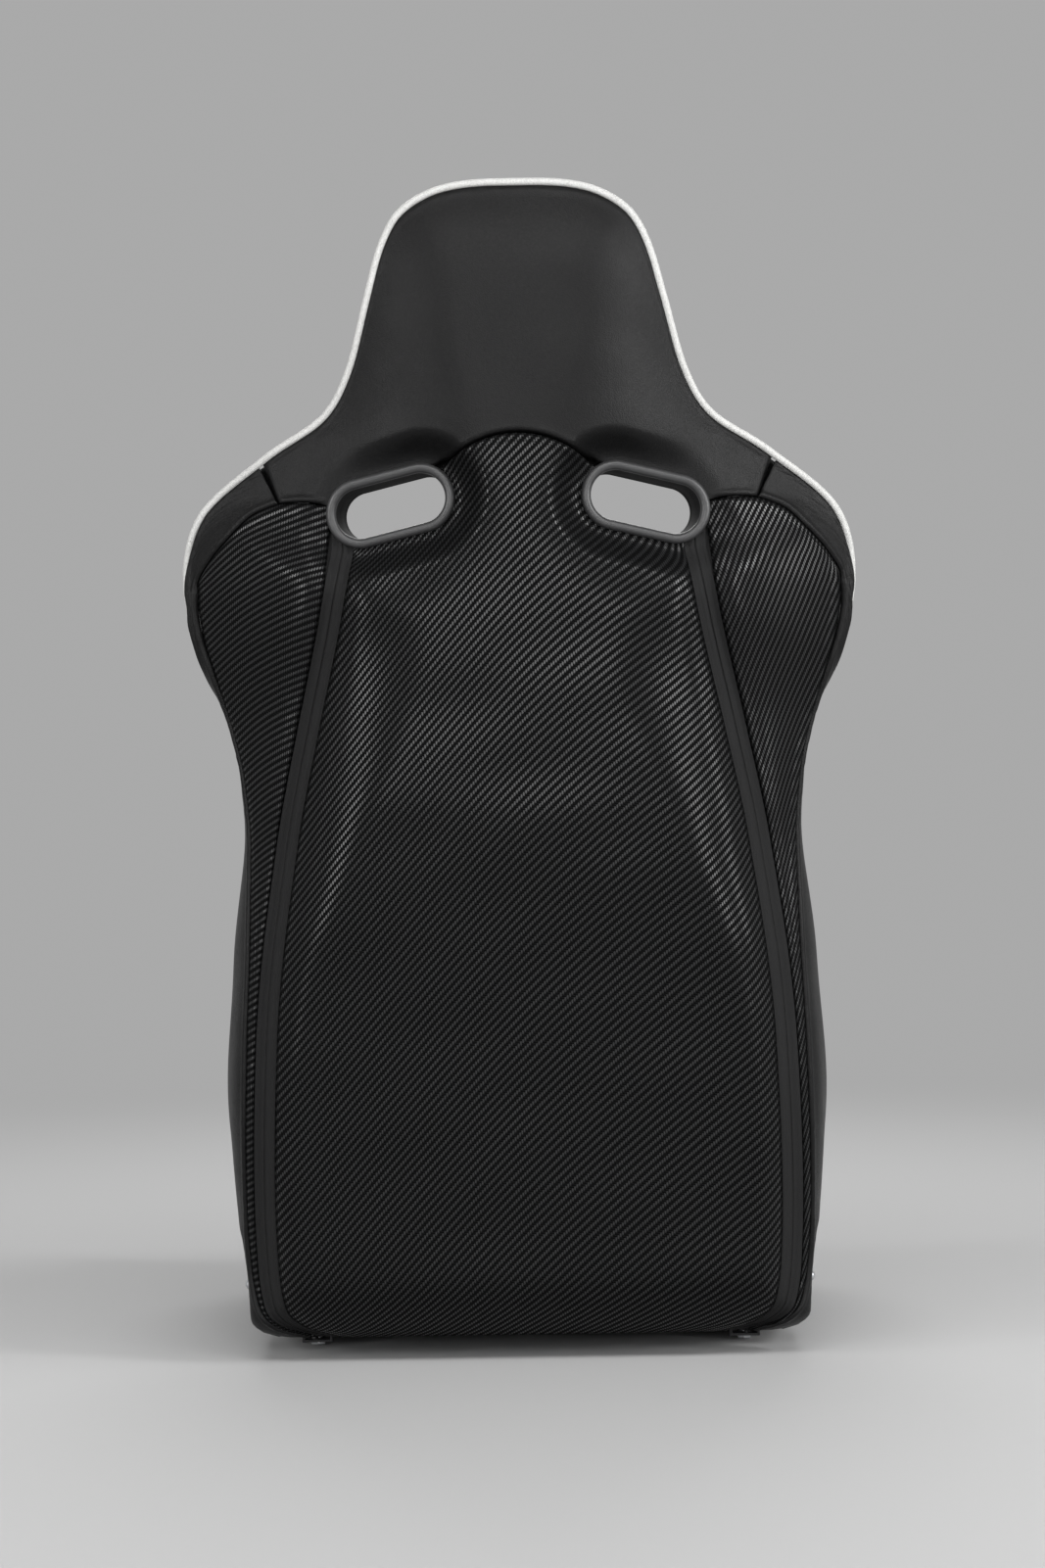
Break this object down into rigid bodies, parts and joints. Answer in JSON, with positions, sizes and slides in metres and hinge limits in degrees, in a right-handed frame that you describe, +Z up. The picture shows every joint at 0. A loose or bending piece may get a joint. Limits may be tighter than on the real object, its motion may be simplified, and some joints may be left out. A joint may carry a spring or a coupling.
{
  "type": "racing seat",
  "caption": "High-backed reclining bucket seat with winged bolsters, two harness slots, zipped cover and a tubular steel base that bolts down from below",
  "frame": {"origin": "on the mounting plane, under the middle of the bounding box", "axes": "+Z up, the occupant looks along +Y, +X to the occupant's right"},
  "size_m": [0.5498, 0.635, 0.95],
  "materials": {
    "twill_vinyl": "satin embossed twill vinyl",
    "leatherette": "fine-grained satin leatherette over foam",
    "zip": "woven tape with a coil",
    "piping": "satin white piping",
    "plastic": "moulded, light grain",
    "webbing": "elastic webbing",
    "frame_paint": "black powder coat on steel",
    "zinc_steel": "zinc plated"
  },
  "bodies": {
    "seat_base": {"recliner_fixed_disc_right": "zinc_steel", "recliner_fixed_disc_left": "zinc_steel", "clock_spring_right": "zinc_steel", "clock_spring_left": "zinc_steel", "recliner_bracket_right": "frame_paint", "recliner_bracket_left": "frame_paint", "base_frame": "frame_paint", "mount_bolt_rear_left": "zinc_steel", "mount_bolt_rear_right": "zinc_steel", "mount_bolt_front_left": "zinc_steel", "mount_bolt_front_right": "zinc_steel", "seat_spring_1": "zinc_steel", "seat_spring_2": "zinc_steel", "seat_spring_3": "zinc_steel", "seat_spring_4": "zinc_steel", "seat_cushion": "leatherette", "thigh_bolster_right": "leatherette", "thigh_bolster_left": "leatherette"},
    "backrest": {"rear_centre_panel": "twill_vinyl", "rear_side_panel_right": "twill_vinyl", "rear_side_panel_left": "twill_vinyl", "rear_yoke": "leatherette", "side_gusset_right": "leatherette", "side_gusset_left": "leatherette", "zip_tape_right": "zip", "zip_tape_left": "zip", "cover_piping": "piping", "harness_bezel_rear_right": "plastic", "harness_bezel_rear_left": "plastic", "harness_bezel_front_right": "plastic", "harness_bezel_front_left": "plastic", "chest_cushion": "leatherette", "back_bolster_right": "leatherette", "back_bolster_left": "leatherette", "head_cushion": "leatherette", "back_frame": "frame_paint", "back_strap_low": "webbing", "back_strap_middle": "webbing", "back_strap_high": "webbing", "recliner_arm_right": "frame_paint", "recliner_arm_left": "frame_paint", "recliner_moving_disc_right": "zinc_steel", "recliner_moving_disc_left": "zinc_steel"},
    "release": {"release_shaft": "zinc_steel", "release_lever_right": "plastic", "release_lever_left": "plastic", "lever_screw_right": "zinc_steel", "lever_screw_left": "zinc_steel"}
  },
  "joints": [
    {"name": "recline", "type": "hinge", "parent": "seat_base", "child": "backrest", "pos_m": [0, -0.1645, 0.055], "axis": [1, 0, 0], "range_deg": [-15, 60]},
    {"name": "recline_release", "type": "hinge", "parent": "seat_base", "child": "release", "pos_m": [0, -0.1645, 0.055], "axis": [1, 0, 0], "range_deg": [0, 20], "stiffness_Nm_per_rad": 2.5, "springref_deg": -14.32}
  ]
}
